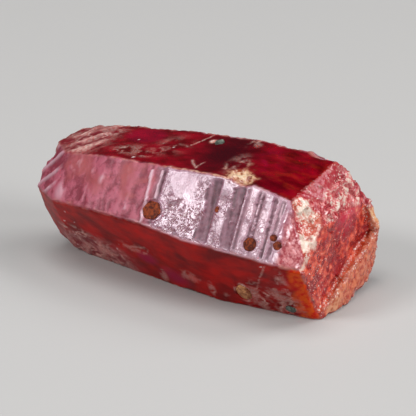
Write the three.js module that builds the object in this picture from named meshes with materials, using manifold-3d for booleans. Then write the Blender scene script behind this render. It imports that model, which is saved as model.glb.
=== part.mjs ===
// A raw ruby crystal: one stubby six-sided prism of corundum, lying on a prism face.
// It narrows to a worn end at -X and is broken across at +X, where a flat basal face sits
// a step below a raised rim. Units are millimetres, +Z is up, and the origin is on the
// table under the middle of the crystal.
//
// The body is the convex hull of its corners, given edge by edge from the worn end to the
// broken one. The step is then cut from it with a box, and the chips are scooped with balls.
import * as THREE from "three";
import { ConvexGeometry } from "three/addons/geometries/ConvexGeometry.js";
import { mergeVertices } from "three/addons/utils/BufferGeometryUtils.js";
import Module from "manifold-3d";

const HALF_ACROSS = 4.7; // from the prism axis to the front and back edges
const HALF_FACE = 2.4; // half the width of the top and bottom faces
const TOP = 8.65; // height of the top face at its highest
const BROKEN_END = 10.25; // how far the raised rim reaches along +X
const BASAL_FACE = 9.65; // where the flat face inside that rim lies
const WORN_END = -9.9; // how far the narrow end reaches along -X

const BALL_DETAIL = 9; // how finely the balls that scoop out chips are divided
const STEP_SIZE = 12; // side of the box that sinks the basal face

// The six long edges of the prism, each from the worn end to the broken end.
const longEdges = {
  topFront: [
    [-8.1, -1.4, 6.85],
    [-4.3, -2.1, 7.6],
    [3.4, -2.35, 8.1],
    [5.5, -HALF_FACE, 8.0],
    [8.0, -2.3, 7.45],
  ],
  front: [
    [-7.9, -3.4, 4.5],
    [-5.0, -4.2, 4.9],
    [-1.0, -4.6, 5.0],
    [2.0, -HALF_ACROSS, 4.6],
    [8.5, -HALF_ACROSS, 4.4],
    [9.6, -4.1, 4.1],
  ],
  bottomFront: [
    [-9.3, -0.6, 0.9],
    [-8.0, -0.8, 0.2],
    [-6.4, -0.9, 0],
    [-3.2, -1.3, 0],
    [0.2, -2.0, 0],
    [3.2, -HALF_FACE, 0],
    [9.3, -1.9, 0],
    [9.8, -1.6, 0],
  ],
  topBack: [
    [-8.1, 2.1, 7.45],
    [-5.4, 2.3, 7.85],
    [-1.0, HALF_FACE, 8.35],
    [3.2, HALF_FACE, TOP],
    [5.9, HALF_FACE, 8.6],
    [8.5, HALF_FACE, 8.4],
  ],
  back: [
    [-8.6, 3.5, 3.6],
    [-4.0, 4.5, 4.2],
    [3.0, 4.9, 4.4],
    [8.6, 5.0, 4.6],
  ],
  bottomBack: [
    [-8.4, 1.6, 0.3],
    [-7.0, 1.8, 0],
    [0, HALF_FACE, 0],
    [9.6, 2.5, 0],
  ],
};

// Corners of the worn end, which two blunt knobs share.
const wornCorners = [
  [WORN_END, -1.95, 4.4],
  [-9.75, -1.5, 3.0],
  [WORN_END, -1.5, 5.25],
  [-9.65, 0.1, 6.75],
  [-9.35, 1.2, 6.95],
  [-8.8, 1.8, 7.2],
  [-9.6, 2.4, 3.4],
];

// Corners of the broken end: its rim, then the slope between the top face and the basal face.
const brokenCorners = [
  [BROKEN_END, 0.8, 0.05],
  [10.2, 3.6, 0.4],
  [10.1, 5.1, 1.7],
  [BROKEN_END, 4.9, 3.3],
  [10.0, 4.7, 4.9],
  [9.3, 4.6, 5.9],
  [8.95, 3.7, 7.0],
  [8.7, 2.9, 8.0],
  [BASAL_FACE, -1.7, 6.0],
  [BASAL_FACE, -3.7, 4.5],
];

const wasm = await Module();
wasm.setup();

// A closed three.js geometry as a solid that can be cut and joined.
function toSolid(geometry) {
  const bare = geometry.clone();
  bare.deleteAttribute("normal");
  bare.deleteAttribute("uv");
  const merged = mergeVertices(bare, 1e-4);
  return new wasm.Manifold(
    new wasm.Mesh({
      numProp: 3,
      vertProperties: new Float32Array(merged.attributes.position.array),
      triVerts: new Uint32Array(merged.index.array),
    }),
  );
}

function toGeometry(solid) {
  const mesh = solid.getMesh();
  const geometry = new THREE.BufferGeometry();
  geometry.setAttribute("position", new THREE.BufferAttribute(mesh.vertProperties, 3));
  geometry.setIndex(new THREE.BufferAttribute(mesh.triVerts, 1));
  geometry.computeVertexNormals();
  return geometry;
}

// A ball that scoops a shell-shaped chip out of the surface: at is the middle of the chip
// before it broke off, outward the way it faced, and depth how deep the scoop is there.
function scoopCutter({ at, outward, radius, depth }) {
  const centre = new THREE.Vector3(...outward).setLength(radius - depth);
  const ball = new THREE.IcosahedronGeometry(radius, BALL_DETAIL);
  ball.translate(at[0] + centre.x, at[1] + centre.y, at[2] + centre.z);
  return ball;
}

// The step on the broken end: a box whose near side is the basal face and whose lower side
// runs up the end from the bottom front corner to the back edge.
function stepCutter() {
  const rimRise = THREE.MathUtils.degToRad(23);
  const basalTilt = THREE.MathUtils.degToRad(1.5);
  const backOfRecess = 5.05;
  const footHeight = 1.35;
  const box = new THREE.BoxGeometry(STEP_SIZE, STEP_SIZE, STEP_SIZE);
  box.translate(STEP_SIZE / 2, backOfRecess - STEP_SIZE / 2, STEP_SIZE / 2);
  box.rotateY(basalTilt);
  box.rotateX(rimRise);
  box.translate(BASAL_FACE, 0, footHeight);
  return box;
}

// The chips knocked off its edges and corners.
const chips = [
  // on the top front edge
  { at: [5.0, -2.1, 8.14], outward: [0, -0.32, 0.95], radius: 2.0, depth: 0.2 },
  // where the front edge meets the broken end
  { at: [9.2, -4.5, 4.25], outward: [0.5, -0.85, -0.1], radius: 1.8, depth: 0.2 },
  // on the top back edge, just before the broken end
  { at: [7.5, 2.4, 8.5], outward: [0, 0.6, 0.8], radius: 1.3, depth: 0.16 },
  // three along the back edge
  { at: [1.0, 4.8, 4.35], outward: [-0.1, 1, 0.15], radius: 4.0, depth: 0.35 },
  { at: [-5.8, 4.15, 3.95], outward: [-0.3, 0.9, 0.2], radius: 2.6, depth: 0.3 },
  { at: [5.6, 4.95, 4.5], outward: [0.1, 1, -0.25], radius: 1.6, depth: 0.15 },
  // on the bottom back edge
  { at: [5.6, 2.5, 0], outward: [0, 0.75, -0.65], radius: 2.6, depth: 0.3 },
  // between the two knobs of the worn end, then on its lower back corner
  { at: [-9.75, -0.6, 6.2], outward: [-0.8, -0.2, 0.6], radius: 1.1, depth: 0.3 },
  { at: [-8.9, 2.0, 1.2], outward: [-0.7, 0.5, -0.5], radius: 3.0, depth: 0.4 },
  // round the raised rim
  { at: [10.15, 5.0, 2.4], outward: [0.6, 0.75, -0.2], radius: 1.5, depth: 0.14 },
  { at: [9.55, 4.7, 5.5], outward: [0.55, 0.5, 0.65], radius: 0.9, depth: 0.16 },
  { at: [10.2, 2.2, 0.2], outward: [0.7, 0, -0.7], radius: 1.6, depth: 0.15 },
];

const corners = [...Object.values(longEdges), wornCorners, brokenCorners].flat();
let crystal = toSolid(new ConvexGeometry(corners.map((c) => new THREE.Vector3(...c))));
crystal = crystal.subtract(toSolid(stepCutter()));
for (const chip of chips) {
  crystal = crystal.subtract(toSolid(scoopCutter(chip)));
}

const geometry = toGeometry(crystal);
geometry.computeBoundingBox();
const middle = geometry.boundingBox.getCenter(new THREE.Vector3());
geometry.translate(-middle.x, -middle.y, -geometry.boundingBox.min.z);

const ruby = new THREE.Mesh(
  geometry,
  new THREE.MeshStandardMaterial({ color: 0x9c0f1e, roughness: 0.3, metalness: 0, flatShading: true }),
);
ruby.name = "ruby_crystal";

const part = new THREE.Group();
part.name = "raw_ruby";
part.add(ruby);

export default part;
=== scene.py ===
"""Looks for the raw ruby crystal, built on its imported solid.

The solid is turned into a fine even skin, which is then worn, pitted and broken in code. Shapes are
worked out in millimetres, in the frame that the solid comes in: X runs along the crystal to its
broken end, the front looks along -Y, and Z is up.
"""

from itertools import product
from math import cos, pi, radians, sin
from types import SimpleNamespace

import bmesh
import bpy
import numpy as np
from mathutils import Euler, Matrix, Vector
from mathutils.bvhtree import BVHTree


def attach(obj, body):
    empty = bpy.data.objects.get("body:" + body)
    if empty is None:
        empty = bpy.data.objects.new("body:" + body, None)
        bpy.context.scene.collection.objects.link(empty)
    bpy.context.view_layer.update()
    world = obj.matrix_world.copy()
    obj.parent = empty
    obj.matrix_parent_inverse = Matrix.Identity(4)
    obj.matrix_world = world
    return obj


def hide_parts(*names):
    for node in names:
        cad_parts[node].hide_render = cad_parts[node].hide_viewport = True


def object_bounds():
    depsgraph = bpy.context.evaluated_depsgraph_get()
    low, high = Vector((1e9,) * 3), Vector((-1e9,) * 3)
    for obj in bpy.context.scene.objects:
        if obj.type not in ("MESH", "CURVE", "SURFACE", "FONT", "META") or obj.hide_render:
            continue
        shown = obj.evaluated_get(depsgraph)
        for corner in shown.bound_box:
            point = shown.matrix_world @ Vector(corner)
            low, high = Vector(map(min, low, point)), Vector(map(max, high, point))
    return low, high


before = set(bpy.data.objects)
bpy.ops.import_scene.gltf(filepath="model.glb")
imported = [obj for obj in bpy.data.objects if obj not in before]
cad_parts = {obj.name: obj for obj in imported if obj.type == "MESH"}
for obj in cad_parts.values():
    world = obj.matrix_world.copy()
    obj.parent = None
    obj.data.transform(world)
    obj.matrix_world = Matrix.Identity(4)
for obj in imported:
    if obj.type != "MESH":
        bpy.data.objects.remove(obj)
cad_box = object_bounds()

MM = 0.001
SKIN_CELL = 0.088  # spacing of the skin's points, which gives it about 208,000 triangles
SEED = 7

# Directions that the crystal's faces look in. The broken end's is longer than the rest, so that
# the slopes round it count as its own.
FACES = {
    "top": (0, 0, 1),
    "front": (0, -0.81, 0.58),
    "low_front": (0, -0.87, -0.5),
    "bottom": (0, 0, -1),
    "low_back": (0, 0.87, -0.5),
    "back": (0, 0.85, 0.53),
    "broken": (1.25, 0, 0),
    "worn": (-1, 0, 0),
}

# ---------------------------------------------------------------- noise

TURNED = (0.7, 0.4, 1.1)  # turns the noise's lattice, so that no face lies along it
LATTICE = np.array(Euler(TURNED).to_matrix())
GRADIENTS = np.array([g for g in product((-1, 0, 1), repeat=3) if np.abs(g).sum() == 2], float)


def scrambled(cell, seed):
    """A whole number for each lattice cell, spread evenly over 32 bits."""
    mixed = cell[:, 0] * 73856093 ^ cell[:, 1] * 19349663 ^ cell[:, 2] * 83492791
    mixed = (mixed ^ (seed + SEED) * 40503) * 668265263 & 0xFFFFFFFF
    mixed = (mixed ^ mixed >> 13) * 1274126177 & 0xFFFFFFFF
    return mixed ^ mixed >> 16


def noise(points, size, seed):
    """Smooth noise from about -1 to 1, in lumps of that size."""
    places = points @ LATTICE / size
    cell = np.floor(places).astype(np.int64)
    inside = places - cell
    fade = inside**3 * (inside * (inside * 6 - 15) + 10)
    total = np.zeros(len(points))
    for corner in product((0, 1), repeat=3):
        slope = GRADIENTS[scrambled(cell + corner, seed) % len(GRADIENTS)]
        weight = np.where(corner, fade, 1 - fade).prod(1)
        total += weight * (slope * (inside - corner)).sum(1)
    return total


def rough(points, size, seed, octaves=4):
    """Noise with finer noise on it, each half the size and the strength of the last."""
    return sum(noise(points, size / 2**k, seed + k) / 2**k for k in range(octaves))


def grains(points, size, seed):
    """For scattered grains of that size: the way from each point to its grain's middle, and a
    number from 0 to 1 for the grain."""
    places = points / size
    cell = np.floor(places).astype(np.int64)
    nearest_yet = np.full(len(points), np.inf)
    owner = np.zeros(len(points))
    way = np.zeros_like(points)
    for step in product((-1, 0, 1), repeat=3):
        code = scrambled(cell + step, seed)
        jitter = np.stack([code & 1023, code >> 10 & 1023, code >> 20 & 1023], 1) / 1023
        to_middle = cell + step + jitter - places
        far = np.linalg.norm(to_middle, axis=1)
        nearer = far < nearest_yet
        owner = np.where(nearer, (code >> 5 & 4095) / 4095, owner)
        way = np.where(nearer[:, None], to_middle, way)
        nearest_yet = np.where(nearer, far, nearest_yet)
    return way * size, owner


def ramp(value, low, high):
    """0 below low, 1 above high, and a smooth rise between them."""
    share = np.clip((value - low) / (high - low), 0, 1)
    return share * share * (3 - 2 * share)


# ---------------------------------------------------------------- the even skin


def even_net(node):
    """The node's solid as an even net of four-sided faces: points in millimetres, and faces."""
    work = bpy.data.objects.new("work", node.data.copy())
    work.data.transform(Matrix.Scale(1 / MM, 4))
    bpy.context.scene.collection.objects.link(work)
    net = work.modifiers.new("net", "REMESH")
    net.mode = "VOXEL"
    net.voxel_size = SKIN_CELL
    shaped = work.evaluated_get(bpy.context.evaluated_depsgraph_get()).to_mesh()
    points = np.empty(len(shaped.vertices) * 3)
    shaped.vertices.foreach_get("co", points)
    corners = np.empty(len(shaped.loops), np.int32)
    shaped.loops.foreach_get("vertex_index", corners)
    bpy.data.objects.remove(work)
    return points.reshape(-1, 3), corners.reshape(-1, 4)


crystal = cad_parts["ruby_crystal"]
points, faces = even_net(crystal)
starts = faces.ravel()
ends = np.roll(faces, -1, axis=1).ravel()
neighbours = np.bincount(starts, minlength=len(points))


def blur(values, rounds):
    """values, each point's evened out with its neighbours' that many times."""
    values = np.asarray(values, float)
    columns = values.reshape(len(points), -1)
    for _ in range(rounds):
        sums = [np.bincount(starts, column[ends], len(points)) for column in columns.T]
        columns = (columns + np.stack(sums, 1) / neighbours[:, None]) / 2
    return columns.reshape(values.shape)


def unit(vectors):
    return vectors / np.linalg.norm(vectors, axis=-1, keepdims=True)


# Each point moves onto the nearest place of the solid, and looks the way its facet does there.
solid = BVHTree.FromPolygons(
    [v.co / MM for v in crystal.data.vertices], [p.vertices for p in crystal.data.polygons]
)
nearest = [solid.find_nearest(p) for p in points]
points = np.array([hit[0] for hit in nearest])
looks = np.array([hit[1] for hit in nearest])
points = blur(points, 1)  # takes the razor edge off each corner

softened = blur(looks, 6)
edge = ramp(1 - np.linalg.norm(softened, axis=1), 0.01, 0.09)  # 1 where two faces meet
outward = unit(softened)
directions = np.array(list(FACES.values()))
nearest_face = (unit(blur(looks, 1)) @ directions.T).argmax(1)
x, y, z = points.T

# The walls of the recess in the broken end look up or to the front, but belong to that end.
RECESS_START = 9.35
upward_or_front = (looks[:, 2] > 0.5) | (looks[:, 1] < -0.6) & (y > 1)
in_recess = (x > RECESS_START) & (np.abs(looks[:, 0]) < 0.25) & upward_or_front
nearest_face[in_recess] = list(FACES).index("broken")


def of_face(face):
    return nearest_face == list(FACES).index(face)


on = {face: blur(of_face(face), 3) for face in FACES}  # 1 on a face, and 0 off it

STRETCHES = 44  # how many stretches a face is measured in, along X
FEWEST_POINTS = 4  # a stretch with no more points than this is passed over
NARROWEST = 0.2  # the least width that a face counts as


def across(face, place):
    """How far each point is across a face, from 0 where place is highest to 1 where it is lowest."""
    mine = of_face(face)
    stops = np.linspace(x[mine].min(), x[mine].max(), STRETCHES + 1)
    middles, high, low = [], [], []
    for start, end in zip(stops[:-1], stops[1:]):
        here = place[mine & (x >= start) & (x <= end)]
        if len(here) > FEWEST_POINTS:
            middles.append((start + end) / 2)
            high.append(here.max())
            low.append(here.min())
    high, low = np.interp(x, middles, high), np.interp(x, middles, low)
    return (high - place) / np.maximum(high - low, NARROWEST)


# Shifts that take the straightness off lines and outlines.
warp = np.stack([noise(points, 0.5, 70 + k) for k in range(3)], 1)
fine_warp = np.stack([noise(points, 0.2, 75 + k) for k in range(3)], 1)

# For each face, how far across it a point lies (0 at its upper or back edge), and its width.
ACROSS = {
    "front": (across("front", z), 4.2),
    "low_front": (across("low_front", z), 5.0),
    "top": (across("top", y), 4.75),
    "back": (across("back", z), 4.6),
    "low_back": (across("low_back", z), 5.0),
}


def spot(face, place_x, place_share, radius_x, radius_share, soft=0.5):
    """1 in the middle of an oval patch of a face, and 0 outside it. Its place and its radii are
    measured along X and as a share of the way across."""
    far = np.hypot((x - place_x) / radius_x, (ACROSS[face][0] - place_share) / radius_share)
    return (1 - ramp(far, 1 - soft, 1)) * on[face]


def stroke(face, start, end, width):
    """1 along a line drawn on a face between two places, each (x, share across)."""
    place_across, face_width = ACROSS[face]
    first = np.array([start[0], start[1] * face_width])
    whole = np.array([end[0], end[1] * face_width]) - first
    shift = 0.07 * warp[:, :2] + 0.03 * fine_warp[:, :2]
    here = np.stack([x, place_across * face_width], 1) + shift - first
    share = np.clip(here @ whole / (whole @ whole), 0, 1)
    far = np.linalg.norm(here - share[:, None] * whole, axis=1)
    return (1 - ramp(far, 0.35 * width, width)) * on[face]


def spot_at(place_x, place_y, place_z, radius):
    """1 near a point, falling to 0 at that radius from it."""
    return 1 - ramp(np.linalg.norm(points - (place_x, place_y, place_z), axis=1), 0, radius)


def near_line(start, end, radius):
    """1 along the line between two points, falling to 0 at that radius from it."""
    start, end = np.array(start), np.array(end)
    along = end - start
    share = np.clip((points - start) @ along / (along @ along), 0, 1)
    far = np.linalg.norm(points - start - share[:, None] * along + 0.3 * warp, axis=1)
    return 1 - ramp(far, 0.5 * radius, radius)


def anchor(face, place_x, place_share):
    """The point of the skin at that place on a face, and the way the face looks there."""
    place_across, face_width = ACROSS[face]
    far = np.hypot(x - place_x, (place_across - place_share) * face_width)
    nearest_point = np.where(on[face] > 0.5, far, np.inf).argmin()
    return points[nearest_point].copy(), outward[nearest_point].copy()


# ---------------------------------------------------------------- relief

# How far each kind of relief stands out of the skin, or goes into it.
SWELL = 0.008
RIPPLE = 0.003
SILK_RELIEF = 0.04
FOLD_HEIGHT = 0.05
BAND_RELIEF = 0.025
PIT_DEPTH = 0.03
BACK_STEP = 0.03
TORN_RELIEF = 0.2
PLATE_RELIEF = 0.3
NOSE_RIDGE = 0.09
NOSE_WEAR = 0.03
RUBBED_RELIEF = 0.07
LIP_HEIGHT = 0.035
BED_ROOM = 0.04  # how much deeper than its grain a bed is
CHIP_RIPPLE = 0.03
CHIP_RELIEF = 0.12
NIBBLE_DEPTH = 0.10

push = np.zeros(len(points))  # how far each point moves outward

# Slow swells and fine ripples all over.
push += SWELL * rough(points, 2.2, 1) + RIPPLE * (1 - on["front"]) * rough(points, 0.35, 5, 2)

# ---------------------------------------------------------------- the front face

pitted = on["front"]
front_share, front_width = ACROSS["front"]
GROWTH_LEAN = 0.08  # how far the edge of the silk leans from straight across the crystal
warped_x = x + 0.025 * noise(points, 1.3, 11) + 0.02 * fine_warp[:, 0]
lean_x = warped_x - GROWTH_LEAN * front_width * (front_share - 0.5)

# The broad half of the front face grew in flat treads, each a little lower than the last.
TREAD_FACING = unit(np.array([0.01, -0.835, 0.55]))
TREAD_POINT = np.array([1.8, -4.9, 4.6])
TREAD_DROPS = ((5.94, 0.03), (6.92, 0.05), (7.34, 0.06), (7.75, 0.06))
TREAD_LOW = 1.0  # where along X the treads lie lowest
TREAD_BOW = 0.0027  # how fast they curve outward on either side of that
below = -(points - TREAD_POINT) @ TREAD_FACING + TREAD_BOW * (x - TREAD_LOW) ** 2
drop = sum(depth * (warped_x > place) for place, depth in TREAD_DROPS)
flatten = pitted * ramp(warped_x, -0.7, -0.3) * (1 - ramp(x, 7.9, 8.4))
push += np.clip(below - drop, -0.3, 0.3) * flatten * (0.55 + 0.45 * ramp(x, 1.0, 3.0))

# Growth steps across the front face: from, to, depth at each.
GROWTH_STEPS = [
    (-0.72, -0.34, 0.00, 0.05),
    (2.52, 3.42, 0.00, 0.15),
    (4.25, 4.98, 0.00, 0.12),
    (4.98, 5.14, 0.03, 0.05),
    (5.18, 5.36, 0.03, 0.07),
    (5.94, 6.06, 0.06, 0.06),
    (6.12, 6.32, 0.08, 0.05),
    (6.94, 7.18, 0.09, 0.03),
    (7.36, 7.62, 0.02, 0.08),
]
inner = ramp(front_share, 0.02, 0.10) * (1 - ramp(front_share, 0.92, 0.99)) * pitted
ragged = 0.9 * np.maximum(rough(points, 0.6, 16, 3), 0)  # how far in a step's first side is eaten
band = np.zeros(len(points))  # 1 in a growth step
for begin, end, depth, end_depth in GROWTH_STEPS:
    share = (warped_x - begin) / (end - begin)
    inside = ((share > ragged) & (share < 1)) * inner
    push -= inside * (depth + (end_depth - depth) * share)
    band = np.maximum(band, inside)


def drawn_out(face, along, wide, lean, seed, octaves=3):
    """Noise on a face, in lumps that long along X and that wide across it, leaning."""
    place_across, face_width = ACROSS[face]
    down = place_across * face_width
    flat = np.stack([(x + lean * down) / along, down / wide, np.zeros(len(x))], 1)
    return rough(flat + 0.25 * warp, 1, seed, octaves)


# The narrow half of the front face is dull silk, with soft folds along the growth lines.
narrow_half = (1 - ramp(lean_x, -1.1, -0.2)) * pitted
silk = drawn_out("front", 0.8, 2.2, -0.1, 14) + 0.5 * drawn_out("front", 0.3, 1.3, -0.1, 15, 2)
silk += 0.5 * rough(points + 0.3 * warp, 0.8, 18, 3)
push += SILK_RELIEF * narrow_half * silk

# Raised lines on the faces: face, start, end, width, height. Each gets a painted highlight along its top.
RIDGES = [
    ("front", (-1.42, 0.10), (-1.14, 0.60), 0.13, 0.07),
    ("front", (-1.14, 0.60), (-1.02, 0.97), 0.13, 0.07),
    ("front", (-0.72, 0.08), (-0.62, 0.52), 0.10, 0.05),
    ("front", (7.5, 0.1), (7.62, 0.55), 0.08, 0.04),
]
painted_highlight = np.zeros(len(points))
for face, start, end, width, height in RIDGES:
    line = stroke(face, start, end, width)
    push += height * line
    painted_highlight = np.maximum(painted_highlight, line)

# Folds in the silk that stand higher and get a painted highlight: x, share across, radii along and
# across.
BRIGHT_FOLDS = [
    (-7.6, 0.8, 0.6, 0.3),
    (-7.0, 0.2, 0.7, 0.3),
    (-5.8, 0.4, 0.5, 0.3),
    (-5.6, 0.8, 0.5, 0.3),
    (-4.6, 0.42, 0.4, 0.14),
    (-3.4, 0.25, 0.6, 0.3),
    (-2.2, 0.8, 0.6, 0.3),
]
crest = ramp(silk, 0.15, 0.6)
for place_x, place_share, radius_x, radius_share in BRIGHT_FOLDS:
    fold = crest * spot("front", place_x, place_share, radius_x, radius_share, 0.9)
    push += FOLD_HEIGHT * fold
    painted_highlight = np.maximum(painted_highlight, 0.5 * fold)

# Fine lines in the growth steps.
push += BAND_RELIEF * band * drawn_out("front", 0.22, 2.5, -0.1, 19)

# Etched pits and worm tracks on the broad half.
broad_half = ramp(lean_x, -0.6, -0.3) * pitted
track_points = points + 0.16 * warp + 0.05 * fine_warp
tracks = 1 - ramp(np.abs(noise(track_points, 0.7, 21)), 0.02, 0.09)
tracks *= ramp(noise(points, 0.65, 23), 0.08, 0.25)
blots = ramp(rough(track_points, 0.5, 24, 2), 0.36, 0.46)
smooth_patch = spot("front", 1.1, 0.22, 1.3, 0.3, 0.8)
crowded = ramp(front_share + 0.4 * noise(points, 1.2, 25) - 0.5 * smooth_patch, -0.1, 0.4)
crowded *= ramp(noise(points, 1.1, 22), -0.45, 0.1)
crowded *= broad_half * (1 - 0.6 * band) * (1 - ramp(x, 7.4, 7.9)) * (1 - 0.25 * ramp(x, 3.0, 3.8))
etched = np.maximum(tracks, blots) * crowded
push -= PIT_DEPTH * etched
# The bottoms of the pits and grooves get painted shade.
shaded_hollow = np.maximum(0.85 * band, 0.6 * etched)  # 1 in the bottom of a pit or groove

# The treads between the last growth steps get a painted highlight.
tread_highlight = ramp(x, 4.9, 5.4) * (1 - ramp(x, 7.5, 8.0)) * pitted * (1 - band)
painted_highlight = np.maximum(painted_highlight, 0.5 * tread_highlight * ramp(noise(points, 0.9, 17), -0.5, 0.1))

# ---------------------------------------------------------------- the back faces

# These have growth treads and pits too, but fainter, with painted shade in them too.
for face, seed in (("back", 26), ("low_back", 28)):
    level = 6 * drawn_out(face, 1.8, 14, -0.1, seed, 2)
    stepped = np.floor(level) + ramp(level - np.floor(level), 0.42, 0.58)
    pits = ramp(rough(track_points, 0.9, 27, 3), 0.24, 0.34) * ramp(noise(points, 2.4, 29), -0.1, 0.3)
    lines = drawn_out(face, 0.4, 2.5, -0.1, 30)
    push += (BACK_STEP * stepped - PIT_DEPTH * pits + SWELL * lines) * on[face]
    shaded_hollow = np.maximum(shaded_hollow, (0.8 * pits + 0.5 * ramp(stepped, 0, 1)) * on[face])

# ---------------------------------------------------------------- the broken end

# Torn, ridged slopes, which don't look straight along X, lie round a flatter base with a raised rim.
broken = on["broken"]
slope = blur(of_face("broken") & (looks[:, 0] < 0.93) & ~in_recess, 2)
rim = broken * ramp(x, 9.6, 9.8)
wall = broken * blur(in_recess, 2)

# Parts of the slope: a pale strip down its front corner, a calm stretch along the top face, and a
# pale brow above the flat base.
strip = near_line((8.1, -2.3, 7.2), (9.1, -1.9, 6.4), 0.8)
strip = np.maximum(strip, 0.8 * near_line((9.1, -2.1, 6.3), (9.3, -4.3, 4.3), 0.7))
strip *= np.maximum(broken, 0.5 * pitted)
calm = slope * near_line((8.2, -0.9, 7.6), (8.4, 2.4, 8.2), 0.95)
brow = slope * near_line((9.2, -2.8, 5.8), (9.0, 2.6, 7.2), 1.3)
brow *= ramp(rough(points, 0.9, 39, 2), -0.3, 0.2)
GRAIN_WAY = np.array([0, 0.816, 0.578])  # the way the torn end's fibres run
torn_points = points - 0.5 * (points @ GRAIN_WAY)[:, None] * GRAIN_WAY + 0.35 * warp


def ridges(size, seed):
    """Sharp crests with hollows between them, from 0 to 1."""
    return 1 - np.clip(2.6 * np.abs(noise(torn_points, size, seed)), 0, 1)


torn = 0.55 * ridges(1.3, 35) + 0.3 * ridges(0.6, 36) + 0.15 * ridges(0.32, 37)
way, owner = grains(points + 0.25 * warp, 1.1, 31)
tilt = np.stack([np.cos(owner * 40), np.sin(owner * 57), np.cos(owner * 91)], 1)
plates = np.clip((way * tilt).sum(1), -0.4, 0.3)
push += slope * (1 - 0.6 * calm) * (TORN_RELIEF * (torn - 0.6) + PLATE_RELIEF * plates)

# The base is about half as rough, and the recess runs out in its back corner.
low_relief = 0.10 * (torn - 0.6) + 0.16 * plates + 0.03 * rough(torn_points, 0.5, 38, 3)
push += (broken - slope) * (1 - 0.5 * rim) * low_relief
CORNER_FILL = 0.27
push += CORNER_FILL * broken * spot_at(9.7, 4.4, 3.6, 1.0)

# ---------------------------------------------------------------- the worn end

# Parallel ridges lean across it, each with a painted highlight on it.
RIDGE_SPACING = 0.85
nose = np.maximum(on["worn"], pitted * (1 - ramp(x + 0.3 * warp[:, 1], -8.6, -8.1)))
ridge = np.cos(2 * pi * ((x - z) / RIDGE_SPACING + 0.2 * noise(points, 1.8, 41)))
nose_ridge = ramp(ridge, 0.1, 1) * nose * ramp(z + y, 1.0, 2.0)
push += NOSE_RIDGE * nose_ridge - NOSE_WEAR * nose
painted_highlight = np.maximum(painted_highlight, 0.6 * nose_ridge)

# Rubbed, lumpy skin where the crystal is worn, drawn into slanting streaks on the top.
low_belt = spot("low_front", -6.0, 1.0, 4.2, 0.55, 0.4)
worn_top = spot("top", -8.6, 0.4, 3.4, 1.0, 0.5)
rubbed = np.maximum.reduce([low_belt, worn_top, 0.5 * on["worn"]])
lumps = rough(points * (1, 1, 0.7) + 0.3 * warp, 0.9, 43, 4)
lumps *= 1 - 0.4 * on["top"]
lumps += on["top"] * drawn_out("top", 0.6, 2.2, 0.9, 44, 3)
push += RUBBED_RELIEF * rubbed * lumps

# ---------------------------------------------------------------- lines, grains and edges

# Lines scratched or grown on the faces: face, start, end, width, depth.
LINES = [
    ("top", (0.5, 0.74), (1.2, 0.92), 0.08, 0.03),
    ("top", (1.2, 0.92), (1.35, 0.76), 0.07, 0.03),
    ("top", (0.1, 0.04), (-0.7, 0.45), 0.07, 0.02),
    ("low_front", (7.33, 0.05), (6.75, 0.32), 0.06, 0.02),
    ("low_front", (6.68, 0.36), (6.15, 0.58), 0.06, 0.02),
    ("low_front", (-3.2, 0.52), (-1.4, 0.44), 0.10, 0.01),
]
scratch = np.zeros(len(points))  # 1 along such a line
for face, start, end, width, depth in LINES:
    line = stroke(face, start, end, width)
    push -= depth * line
    scratch = np.maximum(scratch, line * ramp(noise(points, 0.4, 45), -0.6, 0.0))

# Grains that lie in the surface:
# name, face, x, share across, radii along, across and deep, how far sunk, kind.
INCLUSIONS = [
    ("mica_disc_middle", "front", -0.55, 0.73, 0.64, 0.60, 0.05, 0.03, "mica"),
    ("mica_disc_broad", "front", 6.2, 0.81, 0.43, 0.43, 0.05, 0.03, "mica"),
    ("mica_disc_pair_a", "front", 7.5, 0.60, 0.24, 0.22, 0.04, 0.02, "mica"),
    ("mica_disc_pair_b", "front", 7.88, 0.70, 0.27, 0.27, 0.04, 0.02, "mica"),
    ("mica_disc_small", "front", 3.6, 0.46, 0.13, 0.20, 0.03, 0.01, "mica"),
    ("brown_grain", "low_front", 5.15, 0.72, 0.46, 0.74, 0.16, 0.07, "brown"),
    ("green_grain_low", "low_front", 7.95, 0.87, 0.32, 0.32, 0.12, 0.04, "green"),
    ("green_grain_top", "top", 0.9, 0.20, 0.28, 0.36, 0.10, 0.03, "green"),
]

# Each grain gets a bed with a low lip round it.
lips = np.zeros(len(points))
placed = []
for name, face, place_x, place_share, along, wide, deep, sunk, kind in INCLUSIONS:
    centre, facing = anchor(face, place_x, place_share)
    own_push = push[np.linalg.norm(points - centre, axis=1).argmin()]
    centre = centre + facing * own_push * 0.5
    side = unit(np.array([1.0, 0, 0]) - facing[0] * facing)
    up_face = np.cross(facing, side)
    offset = points - centre
    far = np.hypot(offset @ side / along, offset @ up_face / wide)
    close = np.abs(offset @ facing) < 1
    bed = (1 - ramp(far, 0.95, 1.1)) * close
    push = push * (1 - bed) - (sunk + BED_ROOM) * bed
    shaded_hollow *= 1 - (1 - ramp(far, 0.9, 1.3)) * close
    lip = ramp(far, 1.0, 1.1) * (1 - ramp(far, 1.15, 1.4)) * close
    push += LIP_HEIGHT * lip
    lips = np.maximum(lips, lip)
    placed.append((name, kind, centre - facing * sunk, (side, up_face, facing), (along, wide, deep)))

# Ripples in the shell-shaped chip on the top front edge.
chip_middle, _ = anchor("top", 4.25, 0.89)
from_chip = np.linalg.norm((points - chip_middle) * (0.8, 1, 1), axis=1)
chip = (1 - ramp(from_chip + 0.3 * warp[:, 1], 0.4, 0.95)) * (1 - 0.8 * pitted)
ripples = np.sin(from_chip * 22 + 5 * warp[:, 0])
push += chip * (CHIP_RIPPLE * ripples + CHIP_RELIEF * rough(points, 0.4, 47, 2))

# The chip's gold, painted as a glint of light off a crack in it, runs on along the edge beside it.
edge_gold = edge * near_line((-0.5, -2.4, 8.0), (3.6, -2.5, 8.1), 0.5)
edge_gold *= ramp(noise(points, 0.6, 48), -0.4, 0.2)
chip_and_edge_gold = np.maximum(chip, edge_gold)

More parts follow.
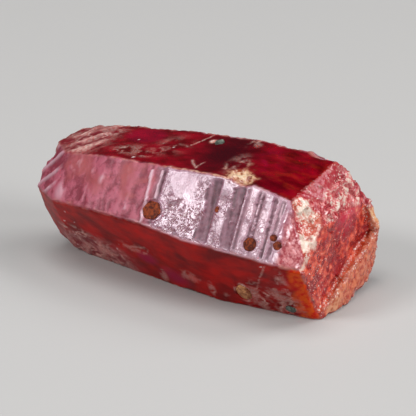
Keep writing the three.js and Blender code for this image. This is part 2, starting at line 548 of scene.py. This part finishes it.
# Nibbled edges, but the one under the front face stays keen and the rim is less worn.
nibble = edge * ramp(rough(points, 0.8, 51, 3), -0.02, 0.35)
keen = ramp(np.minimum(on["front"], on["low_front"]), 0.05, 0.2) * (1 - ramp(x, 7.5, 8.5))
nibble *= 1 - 0.85 * keen - 0.5 * rim
push -= NIBBLE_DEPTH * nibble

points = points + outward * push[:, None]
points[:, 2] = np.maximum(points[:, 2], 0)  # nothing reaches below the table

# ---------------------------------------------------------------- colour masks

streak_points = points + 0.35 * np.stack([noise(points, 1.0, 60 + k) for k in range(3)], 1)
streaks = 1 - ramp(np.abs(rough(streak_points, 1.1, 63, 3)), 0.02, 0.16)
streaks *= ramp(noise(points, 0.45, 65), -0.25, 0.15)
clouds = ramp(rough(points, 0.7, 66, 4), -0.15, 0.4)

# Veils of pale film on the clear faces: face, x, share across, radii along and across, strength.
VEILS = [
    ("low_front", -6.0, 0.9, 3.4, 0.45, 1.0),
    ("low_front", -7.2, 0.58, 1.9, 0.16, 1.0),
    ("low_front", -2.4, 0.5, 1.8, 0.10, 0.8),
    ("low_front", -0.8, 0.86, 0.4, 0.16, 1.0),
    ("low_front", 1.4, 0.7, 1.0, 0.12, 0.8),
    ("low_front", 2.9, 0.8, 0.3, 0.16, 1.0),
    ("low_front", 4.0, 0.9, 0.5, 0.12, 0.9),
    ("low_front", 6.9, 0.8, 2.4, 0.5, 1.0),
    ("low_front", 5.75, 0.72, 0.2, 0.22, 1.0),
    ("low_front", 8.1, 0.4, 0.5, 0.4, 0.8),
    ("top", -7.6, 0.4, 2.8, 0.9, 0.6),
    ("top", -1.6, 0.45, 1.6, 0.4, 0.3),
    ("top", -3.5, 0.72, 2.4, 0.22, 0.5),
    ("top", 3.4, 0.66, 0.9, 0.35, 0.6),
    ("top", 3.2, 0.12, 0.6, 0.2, 0.6),
]
veil = np.zeros(len(points))
for face, place_x, place_share, radius_x, radius_share, strength in VEILS:
    zone = strength * spot(face, place_x, place_share, radius_x, radius_share, 0.7)
    veil = np.maximum(veil, zone * np.maximum(0.45 * clouds, streaks))

# The scratches are pale too, and so are parts of the lips on the face below the front one and a
# spot beside the green grain on the top.
veil = np.maximum(veil, 0.5 * scratch)
veil = np.maximum(veil, lips * on["low_front"] * ramp(warp[:, 0], -0.2, 0.3))
veil = np.maximum(veil, spot("top", 0.5, 0.2, 0.28, 0.07, 0.6))

# Tiny white chips on the clear faces.
way, code = grains(points, 0.55, 81)
speck = (np.linalg.norm(way, axis=1) < 0.075) * (code > 0.86) * (on["top"] + on["low_front"])

# Darker and more purple parts of the clear red, and a painted glow where light shines through it.
deep = spot("top", 2.1, 0.45, 2.9, 0.9, 0.9)
deep = np.maximum(deep, 0.45 * spot("top", 6.2, 0.88, 1.6, 0.3, 0.8))
painted_glow = on["low_front"] * ramp(x + 0.6 * warp[:, 0] + 0.4 * ACROSS["low_front"][0], 8.5, 9.2) * (1 - rim)
top_glow = on["top"] * ramp(x, 4.0, 6.0) * ramp(drawn_out("top", 2.2, 0.5, -0.2, 86), -0.1, 0.4)
painted_glow = np.maximum(painted_glow, 0.07 * top_glow)
magenta = spot("low_front", -1.6, 0.62, 1.0, 0.14, 0.8)
magenta = np.maximum(magenta, spot("low_front", 0.2, 0.82, 1.5, 0.2, 0.9))
magenta = np.maximum(magenta, 0.4 * spot("top", 4.8, 0.4, 1.3, 0.4, 1.0) * clouds)
magenta = np.maximum(magenta, 0.22 * spot("top", -4.0, 0.27, 1.6, 0.26, 0.35))

# Painted glints on the chip, pale edges, and a painted highlight along the edge under the front face.
golden_glint = np.maximum(chip_and_edge_gold, 0.6 * spot("top", 3.7, 0.75, 1.2, 0.32, 0.9) * streaks)
glint = spot_at(*chip_middle, 0.75)
fringe = edge * ramp(rough(points, 0.5, 83, 3), -0.3, 0.3) * (1 - 0.8 * keen) * (1 - 0.8 * broken)
# a painted highlight along the edge under the front face
edge_highlight = keen * ramp(on["front"], 0.1, 0.3) * ramp(noise(points, 0.7, 84), -0.6, -0.1)
painted_highlight = np.maximum(painted_highlight, edge_highlight * ramp(x, -2.5, -0.5))

# Colours of the broken end, where painted sparkles go, and where its little facets tilt to catch the
# light.
front_base = 0.7 * broken * spot_at(9.5, -2.4, 3.0, 2.4)
sparkle = np.maximum.reduce([strip, brow, broken * edge, front_base])
blush = broken * spot_at(9.5, 1.6, 6.2, 2.6)
amber = broken * np.maximum(spot_at(9.8, 4.5, 4.8, 2.0), 0.4 * spot_at(9.9, -0.9, 0.4, 1.8))
amber *= 1 - wall
grainy = pitted * ramp(x + 0.2 * warp[:, 0], 7.7, 8.3)
glittering = [slope * (1 - 0.6 * calm), strip, 0.6 * rim, 0.3 * broken, 0.7 * golden_glint, 0.7 * grainy]
glitter = np.maximum.reduce(glittering)
dusty = np.maximum.reduce([pitted, broken, on["back"], rubbed, veil, golden_glint, on["worn"]])

# What the skin's material reads at each point, from 0 to 1.
masks = {
    "front": np.maximum(pitted, 0.8 * on["back"]),  # the back face is much like the front one
    "top": on["top"],
    "matt": np.maximum(on["low_front"], on["worn"]),
    "narrow_half": narrow_half,
    "silk": narrow_half * np.clip(0.5 + 1.2 * silk, 0, 1),
    "crowded": crowded,
    "broken": broken,
    "slope": slope,
    "strip": strip,
    "brow": brow,
    "calm": calm,
    "blush": blush,
    "amber": amber,
    "rim": rim,
    "torn": broken * torn,
    "wall": wall,
    "sparkle": sparkle,
    "glitter": glitter,
    "grainy": grainy,
    "lumps": np.clip(0.5 + 0.9 * lumps, 0, 1),
    "rubbed": rubbed,
    "shaded_hollow": shaded_hollow,
    "painted_highlight": painted_highlight,
    "veil": veil,
    "speck": speck,
    "deep": deep,
    "painted_glow": painted_glow,
    "magenta": magenta,
    "golden_glint": golden_glint,
    "glint": glint,
    "fringe": fringe,
    "dusty": np.clip(dusty, 0, 1),
}


def make_mesh(name, places, corners, attributes=None):
    """A smooth-shaded mesh from points in millimetres."""
    mesh = bpy.data.meshes.new(name)
    mesh.from_pydata((places * MM).tolist(), [], corners.tolist())
    mesh.shade_smooth()
    for key, values in (attributes or {}).items():
        layer = mesh.attributes.new(key, "FLOAT", "POINT")
        layer.data.foreach_set("value", values.astype(np.float32))
    return mesh


# ---------------------------------------------------------------- materials


def add(tree, kind, inputs=None, **settings):
    """A new node, with each input given a value or linked to a socket."""
    node = tree.nodes.new(kind)
    for name, value in settings.items():
        setattr(node, name, value)
    for name, value in (inputs or {}).items():
        if isinstance(value, bpy.types.NodeSocket):
            tree.links.new(value, node.inputs[name])
        else:
            node.inputs[name].default_value = value
    return node


def mask(tree, name):
    return add(tree, "ShaderNodeAttribute", attribute_name=name).outputs["Fac"]


def maths(tree, operation, *values):
    return add(tree, "ShaderNodeMath", dict(enumerate(values)), operation=operation).outputs[0]


def times(tree, *values):
    so_far = values[0]
    for value in values[1:]:
        so_far = maths(tree, "MULTIPLY", so_far, value)
    return so_far


def vector_maths(tree, operation, inputs, output=0):
    return add(tree, "ShaderNodeVectorMath", inputs, operation=operation).outputs[output]


def fitted(tree, value, low, high, to_low=0.0, to_high=1.0):
    """value, mapped from low..high to to_low..to_high and held there."""
    wanted = {"Value": value, "From Min": low, "From Max": high, "To Min": to_low, "To Max": to_high}
    return add(tree, "ShaderNodeMapRange", wanted).outputs["Result"]


def tint(tree, factor, first, second):
    """first and second colours, mixed."""
    ends = {0: factor}
    for index, colour in ((6, first), (7, second)):
        ends[index] = colour if isinstance(colour, bpy.types.NodeSocket) else (*colour, 1)
    return add(tree, "ShaderNodeMix", ends, data_type="RGBA").outputs[2]


def shaded(tree, value, low, high, first, second):
    """The first colour where value is low, and the second where it is high."""
    return tint(tree, fitted(tree, value, low, high), first, second)


def painted(tree, colour, name, paint, share=1.0):
    """colour, with that share of paint over it where the mask of that name says."""
    return tint(tree, times(tree, mask(tree, name), share), colour, paint)


def bumped(tree, height, strength, depth, normal=None):
    """A normal, tipped as if the surface had bumps that many millimetres deep."""
    wanted = {"Height": height, "Strength": strength, "Distance": depth * MM}
    if normal:
        wanted["Normal"] = normal
    return add(tree, "ShaderNodeBump", wanted).outputs["Normal"]


def turned_place(tree):
    place = add(tree, "ShaderNodeTexCoord").outputs["Object"]
    turn = {"Vector": place, "Rotation": TURNED}
    return add(tree, "ShaderNodeVectorRotate", turn, rotation_type="EULER_XYZ").outputs[0]


def texture(tree, size, detail=3, distortion=0.0):
    """Node noise from 0 to 1, in lumps of that many millimetres."""
    place = turned_place(tree)
    wanted = {"Vector": place, "Scale": 1 / (size * MM), "Detail": detail, "Distortion": distortion}
    return add(tree, "ShaderNodeTexNoise", wanted).outputs["Fac"]


def stretched(tree, size, lean, stretch, detail=3):
    """Node noise from 0 to 1, drawn out across the crystal into lines that lean."""
    place = add(tree, "ShaderNodeTexCoord").outputs["Object"]
    along = vector_maths(tree, "DOT_PRODUCT", {0: place, 1: (1, 0, lean)}, "Value")
    parts = add(tree, "ShaderNodeSeparateXYZ", {0: place}).outputs
    short = [maths(tree, "MULTIPLY", parts[k], stretch) for k in (1, 2)]
    flat = add(tree, "ShaderNodeCombineXYZ", {0: along, 1: short[0], 2: short[1]}).outputs[0]
    wanted = {"Vector": flat, "Scale": 1 / (size * MM), "Detail": detail}
    return add(tree, "ShaderNodeTexNoise", wanted).outputs["Fac"]


def facets(tree, size):
    """Little crumpled facets: a random direction for each, and a random number from 0 to 1."""
    place = turned_place(tree)
    wanted = {"Vector": place, "Scale": 1 / (size * MM), "Detail": 2}
    bend = add(tree, "ShaderNodeTexNoise", wanted).outputs["Color"]
    bend = vector_maths(tree, "SCALE", {0: bend, "Scale": 1.2 * size * MM})
    bent = vector_maths(tree, "ADD", {0: place, 1: bend})
    cells = add(tree, "ShaderNodeTexVoronoi", {"Vector": bent, "Scale": 1 / (size * MM)}).outputs["Color"]
    lean = vector_maths(tree, "SUBTRACT", {0: cells, 1: (0.5, 0.5, 0.5)})
    return lean, add(tree, "ShaderNodeSeparateColor", {0: cells}).outputs[0]


def new_material(name):
    """A material and its node tree, which is empty."""
    material = bpy.data.materials.new(name)
    material.use_nodes = True
    material.node_tree.nodes.clear()
    return material, material.node_tree


def ruby_patterns(tree):
    """The patterns that the ruby's colours, gloss and bumps share."""
    fine = texture(tree, 0.3)
    worms = texture(tree, 0.34, 2, 1.2)
    near_middle = maths(tree, "ABSOLUTE", maths(tree, "SUBTRACT", worms, 0.5))
    worm = times(tree, fitted(tree, near_middle, 0.03, 0.09, 1.0, 0.0), fitted(tree, fine, 0.42, 0.52))
    lean, facet = facets(tree, 0.27)
    return SimpleNamespace(
        dust=texture(tree, 0.12),
        fine=fine,
        coarse=texture(tree, 1.6, 3, 0.4),
        brushed=stretched(tree, 1.2, 0.1, 1.8, 4),
        worm=times(tree, worm, mask(tree, "crowded")),
        lean=lean,
        facet=facet,
    )


def clear_red(tree, look):
    """The clear faces' red, with purple and dark parts, a top painted darker as shade, and a painted glow
    where light shines through.
    """
    flames = times(tree, maths(tree, "ADD", texture(tree, 1.8, 5, 0.8), look.brushed), 0.5)
    colour = shaded(tree, flames, 0.38, 0.62, (0.21, 0.0003, 0.0008), (0.66, 0.002, 0.0008))
    # The top face's own purple-red, painted darker as shade.
    shaded_crimson = shaded(tree, look.brushed, 0.35, 0.65, (0.11, 0.0005, 0.003), (0.30, 0.001, 0.012))
    colour = painted(tree, colour, "top", shaded_crimson)
    colour = painted(tree, colour, "magenta", (0.42, 0.001, 0.06))
    colour = painted(tree, colour, "deep", (0.05, 0.0005, 0.005))
    # Painted glow: orange-red where light shines through the crystal.
    glow_colour = shaded(tree, look.fine, 0.35, 0.65, (0.82, 0.014, 0.001), (1.0, 0.15, 0.004))
    return painted(tree, colour, "painted_glow", glow_colour)


def silk_and_lilac(tree, look):
    """Pink silk and the broad half's lilac, with painted highlight and shade on the silk, in the grooves
    and worm tracks, and on the lines.
    """
    # The pink follows the silk's relief: lighter on its crests and darker in its troughs, as painted
    # highlight and shade.
    silk_shading = maths(tree, "ADD", mask(tree, "silk"), fitted(tree, look.fine, 0.3, 0.7, -0.3, 0.3))
    silk_shading = maths(tree, "ADD", silk_shading, fitted(tree, look.dust, 0.3, 0.7, -0.25, 0.25))
    pink = shaded(tree, silk_shading, 0.1, 0.9, (0.28, 0.03, 0.06), (0.58, 0.13, 0.20))
    pink = shaded(tree, look.coarse, 0.5, 0.7, pink, (0.50, 0.10, 0.11))
    lilac = shaded(tree, look.fine, 0.35, 0.65, (0.36, 0.17, 0.24), (0.63, 0.41, 0.53))
    colour = painted(tree, lilac, "narrow_half", pink)
    stripes = stretched(tree, 0.3, 0.1, 0.05)
    stripes = maths(tree, "ADD", stripes, fitted(tree, look.fine, 0.3, 0.7, -0.1, 0.1))
    # Painted shade: the grooves and pits are coloured dark, as if in shadow.
    groove = shaded(tree, stripes, 0.36, 0.64, (0.06, 0.013, 0.022), (0.31, 0.145, 0.20))
    colour = painted(tree, colour, "shaded_hollow", groove)
    # Painted shade along the worm tracks, in dark mauve.
    colour = tint(tree, look.worm, colour, (0.24, 0.08, 0.10))
    mottle = times(tree, maths(tree, "ADD", look.fine, look.dust), 0.5)
    grain = shaded(tree, mottle, 0.42, 0.58, (0.42, 0.06, 0.08), (0.82, 0.32, 0.33))
    colour = painted(tree, colour, "grainy", grain)
    # painted highlights in pale lilac along the ridges, folds, treads and edges
    return painted(tree, colour, "painted_highlight", (0.90, 0.62, 0.72))


def broken_base(tree, look):
    """The broken end's flat base in red with painted highlight and shade on its tears, a recess wall in
    orange-red and a rusty rim.
    """
    torn_shading = maths(tree, "ADD", fitted(tree, look.fine, 0.3, 0.7, -0.35, 0.35), mask(tree, "torn"))
    base = shaded(tree, torn_shading, 0.3, 0.85, (0.34, 0.003, 0.006), (1.0, 0.13, 0.065))
    base = tint(tree, fitted(tree, look.coarse, 0.5, 0.65, 0, 0.5), base, (0.50, 0.008, 0.02))
    base = painted(tree, base, "blush", (0.74, 0.055, 0.10))
    base = shaded(tree, torn_shading, 0.8, 1.1, base, (1.0, 0.32, 0.19))
    base = painted(tree, base, "wall", (0.95, 0.12, 0.04))
    crust = shaded(tree, look.fine, 0.36, 0.62, (0.52, 0.05, 0.02), (0.86, 0.26, 0.13))
    yellow = shaded(tree, look.fine, 0.38, 0.58, (0.80, 0.22, 0.06), (1.0, 0.66, 0.34))
    crust = painted(tree, crust, "amber", yellow)
    return painted(tree, base, "rim", crust)


def torn_slope(tree, look):
    """The broken end's torn slope, painted dark red in its hollows as shade and cream on its crests as
    highlight.
    """
    # crumpled rises from the torn hollows to the crests, so its colours are painted shade and highlight.
    crumpled = maths(tree, "ADD", mask(tree, "torn"), fitted(tree, look.facet, 0, 1, -0.34, 0.34))
    crumpled = maths(tree, "ADD", crumpled, fitted(tree, look.dust, 0.35, 0.65, -0.2, 0.2))
    crumpled = maths(tree, "ADD", crumpled, times(tree, mask(tree, "brow"), 0.15))
    crumpled = maths(tree, "ADD", crumpled, times(tree, mask(tree, "strip"), 0.32))
    colour = shaded(tree, crumpled, 0.15, 0.75, (0.46, 0.015, 0.03), (0.88, 0.25, 0.24))
    colour = shaded(tree, crumpled, 0.72, 1.0, colour, (1.0, 0.84, 0.71))
    colour = painted(tree, colour, "calm", (0.46, 0.02, 0.04), 0.8)
    cream = shaded(tree, crumpled, 0.4, 0.95, (0.76, 0.19, 0.10), (1.0, 0.84, 0.68))
    return painted(tree, colour, "strip", cream, 0.7)


def broken_end(tree, look):
    """The torn slope over the flat base, with painted sparkles in white on both."""
    sloping = maths(tree, "MAXIMUM", mask(tree, "slope"), mask(tree, "strip"))
    colour = tint(tree, sloping, broken_base(tree, look), torn_slope(tree, look))
    # Painted sparkles: white specks standing in for glints of the lamps.
    flecks = maths(tree, "ADD", look.dust, times(tree, mask(tree, "sparkle"), 0.1))
    return shaded(tree, flecks, 0.68, 0.72, colour, (1.0, 0.84, 0.74))


def weathered(tree, look, colour):
    """colour, with worn skin with painted highlight and shade on its lumps, painted golden glints, veils,
    pale edges and white chips.
    """
    # Worn skin, painted lighter on its lumps' crests and darker between them, as highlight and shade.
    lump_shading = maths(tree, "ADD", mask(tree, "lumps"), fitted(tree, look.fine, 0.3, 0.7, -0.2, 0.2))
    worn = shaded(tree, lump_shading, 0.28, 0.9, (0.22, 0.008, 0.018), (0.54, 0.18, 0.18))
    worn = shaded(tree, lump_shading, 0.85, 1.1, worn, (0.92, 0.64, 0.56))
    colour = painted(tree, colour, "rubbed", worn, 0.85)
    # The chip's gold is a painted glint of light off a crack.
    golden_glint_colour = shaded(tree, look.fine, 0.42, 0.58, (0.40, 0.10, 0.045), (0.95, 0.62, 0.38))
    colour = painted(tree, colour, "golden_glint", golden_glint_colour)
    # Cream painted glints on the chip's little facets.
    colour = painted(tree, colour, "glint", (1.0, 0.82, 0.58), fitted(tree, look.facet, 0.45, 0.6))
    film = shaded(tree, look.dust, 0.4, 0.6, (0.78, 0.30, 0.24), (1.0, 0.80, 0.72))
    colour = painted(tree, colour, "veil", film)
    colour = painted(tree, colour, "fringe", (0.80, 0.38, 0.30), 0.5)
    return painted(tree, colour, "speck", (1.0, 0.85, 0.85))


def ruby_roughness(tree, look):
    """Glossiest on the top, satin on the front and the broken end, and dull on worn and matt parts."""
    dull = mask(tree, "narrow_half")
    for name in ("shaded_hollow", "rubbed", "veil", "matt"):
        dull = maths(tree, "MAXIMUM", dull, mask(tree, name))
    satin = maths(tree, "MAXIMUM", mask(tree, "front"), mask(tree, "broken"))
    patchy = fitted(tree, look.coarse, 0.35, 0.65, 0.10, 0.2)
    roughness = maths(tree, "ADD", fitted(tree, dull, 0, 1, 0.09, 0.42), times(tree, satin, patchy))
    return maths(tree, "SUBTRACT", roughness, times(tree, mask(tree, "glitter"), look.facet, 0.1))


def ruby_normal(tree, look):
    """The way the skin faces, tilted facet by facet, with grit and worm tracks bumped in."""
    tilt = times(tree, mask(tree, "glitter"), 0.7)
    tilt = vector_maths(tree, "SCALE", {0: look.lean, "Scale": tilt})
    skin_normal = add(tree, "ShaderNodeNewGeometry").outputs["Normal"]
    normal = vector_maths(tree, "ADD", {0: skin_normal, 1: tilt})
    normal = vector_maths(tree, "NORMALIZE", {0: normal})
    grit_strength = fitted(tree, mask(tree, "broken"), 0, 1, 0.25, 0.8)
    normal = bumped(tree, look.dust, grit_strength, 0.03, normal)
    return bumped(tree, maths(tree, "SUBTRACT", 1.0, look.worm), 0.55, 0.03, normal)


def ruby_material():
    material, tree = new_material("ruby")
    look = ruby_patterns(tree)
    colour = painted(tree, clear_red(tree, look), "front", silk_and_lilac(tree, look))
    colour = painted(tree, colour, "broken", broken_end(tree, look))
    shader = add(tree, "ShaderNodeBsdfPrincipled", {
        "Base Color": weathered(tree, look, colour),
        "Roughness": ruby_roughness(tree, look),
        "Normal": ruby_normal(tree, look),
        "IOR": 1.76,
        "Transmission Weight": 0.5,
        "Specular IOR Level": 0.05,
        "Specular Tint": tint(tree, mask(tree, "dusty"), (0.08, 0.0, 0.0), (1.0, 0.95, 1.0)),
    })
    inside = add(tree, "ShaderNodeVolumeAbsorption", {"Color": (0.98, 0.02, 0.04, 1), "Density": 1200})
    ends = {"Surface": shader.outputs[0], "Volume": inside.outputs[0]}
    add(tree, "ShaderNodeOutputMaterial", ends)
    return material


# For each kind of grain, its two colours, its roughness, and how far its outline is six-sided.
GRAIN_KINDS = {
    "mica": {"colours": ((0.05, 0.005, 0.002), (0.22, 0.036, 0.007)), "roughness": 0.6, "hexagonal": 0.7},
    "brown": {"colours": ((0.22, 0.05, 0.02), (0.62, 0.30, 0.13)), "roughness": 0.5, "hexagonal": 0.0},
    "green": {"colours": ((0.015, 0.02, 0.017), (0.16, 0.18, 0.15)), "roughness": 0.3, "hexagonal": 0.0},
}


def grain_material(kind):
    finish = GRAIN_KINDS[kind]
    material, tree = new_material(kind)
    mottle = texture(tree, 0.2, 4, 1.0)
    shader = add(tree, "ShaderNodeBsdfPrincipled", {
        "Base Color": shaded(tree, mottle, 0.40, 0.64, *finish["colours"]),
        "Roughness": finish["roughness"],
        "Specular IOR Level": 0.15,
        "Normal": bumped(tree, mottle, 0.5, 0.04),
    })
    add(tree, "ShaderNodeOutputMaterial", {"Surface": shader.outputs[0]})
    return material


def grain_mesh(name, centre, axes, radii, hexagonal, seed):
    """A lumpy closed grain: a ball squashed to its radii, with six flat sides where hexagonal."""
    ball = bmesh.new()
    bmesh.ops.create_icosphere(ball, subdivisions=4, radius=1)
    shape = np.array([v.co for v in ball.verts])
    corners = np.array([[v.index for v in f.verts] for f in ball.faces])
    ball.free()
    turn = np.arctan2(shape[:, 1], shape[:, 0])
    sixth = np.mod(turn, pi / 3) - pi / 6
    flat_side = cos(pi / 6) / np.cos(sixth)
    shape[:, :2] *= (1 + hexagonal * (flat_side - 1))[:, None]
    shape[:, 2] = np.sign(shape[:, 2]) * np.sqrt(np.abs(shape[:, 2]))  # flatter above and below
    shape *= 1 + 0.07 * rough(shape + 10 * seed, 0.9, 90)[:, None]
    shape *= radii
    return make_mesh(name, centre + shape @ np.stack(axes), corners)


skin = bpy.data.objects.new("ruby", make_mesh("ruby", points, faces, masks))
bpy.context.scene.collection.objects.link(skin)
skin.data.materials.append(ruby_material())
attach(skin, "root")
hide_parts("ruby_crystal")

grain_materials = {kind: grain_material(kind) for kind in GRAIN_KINDS}
for seed, (name, kind, centre, axes, radii) in enumerate(placed):
    mesh = grain_mesh(name, centre, axes, radii, GRAIN_KINDS[kind]["hexagonal"], seed)
    grain = bpy.data.objects.new(name, mesh)
    bpy.context.scene.collection.objects.link(grain)
    grain.data.materials.append(grain_materials[kind])
    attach(grain, "root")

# ---------------------------------------------------------------- floor, light and camera


def plain_material(name, colour):
    material = bpy.data.materials.new(name)
    material.use_nodes = True
    shader = material.node_tree.nodes["Principled BSDF"]
    shader.inputs["Base Color"].default_value = (*colour, 1)
    shader.inputs["Roughness"].default_value = 0.6
    return material


FLOOR_HALF = 600
FLOOR_GAP = 0.002  # keeps the floor clear of the face that lies on it
SQUARE = ((-1, -1), (1, -1), (1, 1), (-1, 1))
floor_corners = np.array([(i * FLOOR_HALF, j * FLOOR_HALF, -FLOOR_GAP) for i, j in SQUARE])
floor = bpy.data.objects.new("floor", make_mesh("floor", floor_corners, np.array([[0, 1, 2, 3]])))
floor.data.materials.append(plain_material("floor", (0.37, 0.365, 0.36)))
bpy.context.scene.collection.objects.link(floor)

middle = (Vector(cad_box[0]) + Vector(cad_box[1])) / 2


def soft_light(name, direction, distance, size, power):
    """A lamp of that width and height that faces the crystal, in millimetres and watts."""
    lamp = bpy.data.lights.new(name, "AREA")
    lamp.shape = "RECTANGLE"
    lamp.size, lamp.size_y = size[0] * MM, size[1] * MM
    lamp.energy = power
    holder = bpy.data.objects.new(name, lamp)
    way = Vector(direction).normalized()
    holder.location = middle + way * distance * MM
    holder.rotation_euler = way.to_track_quat("Z", "Y").to_euler()
    bpy.context.scene.collection.objects.link(holder)


soft_light("front_light", (-0.38, -0.65, 0.61), 400, (110, 70), 0.95)
soft_light("right_light", (0.9, -0.05, 0.42), 400, (160, 160), 1.3)
soft_light("back_light", (0.5, 0.45, 0.72), 450, (220, 220), 1.0)
soft_light("top_light", (-0.1, -0.15, 1), 450, (260, 260), 1.3)

ROOM_LIGHT = 0.08  # how bright the white room round the crystal is
world = bpy.data.worlds.new("room")
world.use_nodes = True
background = world.node_tree.nodes["Background"]
background.inputs["Color"].default_value = (1, 1, 1, 1)
background.inputs["Strength"].default_value = ROOM_LIGHT
bpy.context.scene.world = world
bpy.context.scene.view_settings.view_transform = "Standard"

CAMERA_TURN, CAMERA_RISE = radians(30), radians(24)
CAMERA_DISTANCE = 140
AIM_OFFSET = Vector((0.62, 0.41, 0))  # from the crystal's middle to where the camera aims
towards_camera = Vector((
    sin(CAMERA_TURN) * cos(CAMERA_RISE),
    -cos(CAMERA_TURN) * cos(CAMERA_RISE),
    sin(CAMERA_RISE),
))
lens = bpy.data.cameras.new("camera")
lens.lens = 200
lens.clip_start = 0.005
lens.clip_end = 5
camera = bpy.data.objects.new("camera", lens)
camera.location = middle + (AIM_OFFSET + towards_camera * CAMERA_DISTANCE) * MM
camera.rotation_euler = towards_camera.to_track_quat("Z", "Y").to_euler()
bpy.context.scene.collection.objects.link(camera)
bpy.context.scene.camera = camera
